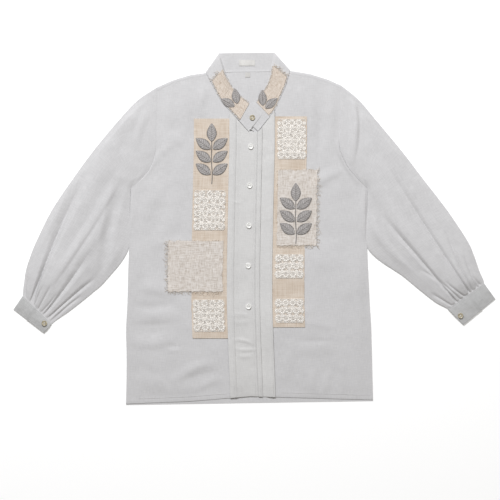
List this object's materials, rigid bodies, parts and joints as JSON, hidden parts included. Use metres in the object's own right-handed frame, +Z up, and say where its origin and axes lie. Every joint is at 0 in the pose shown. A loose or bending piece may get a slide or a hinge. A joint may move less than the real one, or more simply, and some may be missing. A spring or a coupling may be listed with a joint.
{
  "type": "linen shirt laid flat",
  "caption": "Long-sleeved linen shirt laid out flat, front up, with a buttoned stand collar, tucked placket, gathered sleeves and applied linen bands, lace and leaves.",
  "frame": {"origin": "on the surface that the shirt lies on, under the middle of the laid-out shirt", "axes": "+X across the shirt towards the wearer's left sleeve, +Y up the shirt towards the collar, +Z up from the surface, out of the front"},
  "size_m": [1.0838, 0.793, 0.0205],
  "materials": {
    "linen": "plain-woven off-white linen",
    "beige_linen": "plain-woven beige linen",
    "coarse_linen": "coarse open-woven linen with frayed edges",
    "lace": "ivory cotton lace",
    "grey_linen": "stitched grey linen",
    "pearl": "white pearl",
    "horn": "olive-beige pearl",
    "label": "woven satin tape"
  },
  "bodies": {
    "root": {"back": "linen", "front_right": "linen", "front_left": "linen", "sleeve_right": "linen", "sleeve_left": "linen", "cuff_right": "linen", "cuff_left": "linen", "collar_stand": "linen", "neck_label": "label", "size_tag": "label", "button_collar": "horn", "button_front_1": "pearl", "button_front_2": "pearl", "button_front_3": "pearl", "button_front_4": "pearl", "button_front_5": "pearl", "button_cuff_right": "horn", "button_cuff_left": "horn", "band_right": "beige_linen", "band_left": "beige_linen", "patch_right": "coarse_linen", "patch_left": "coarse_linen", "fringe_right_side": "coarse_linen", "fringe_right_hem": "coarse_linen", "fringe_left_side": "coarse_linen", "fringe_left_hem": "coarse_linen", "lace_right_top": "lace", "lace_right_hem": "lace", "lace_left_top": "lace", "lace_left_middle": "lace", "lace_left_hem": "lace", "collar_trim_right": "beige_linen", "collar_trim_left": "beige_linen", "leaf_right_1a": "grey_linen", "leaf_right_1b": "grey_linen", "leaf_right_2a": "grey_linen", "leaf_right_2b": "grey_linen", "leaf_right_3a": "grey_linen", "leaf_right_3b": "grey_linen", "leaf_right_tip": "grey_linen", "leaf_left_1a": "grey_linen", "leaf_left_1b": "grey_linen", "leaf_left_2a": "grey_linen", "leaf_left_2b": "grey_linen", "leaf_left_3a": "grey_linen", "leaf_left_3b": "grey_linen", "leaf_left_tip": "grey_linen", "leaf_collar_right_a": "grey_linen", "leaf_collar_right_b": "grey_linen", "leaf_collar_left_a": "grey_linen", "leaf_collar_left_b": "grey_linen"}
  },
  "joints": []
}
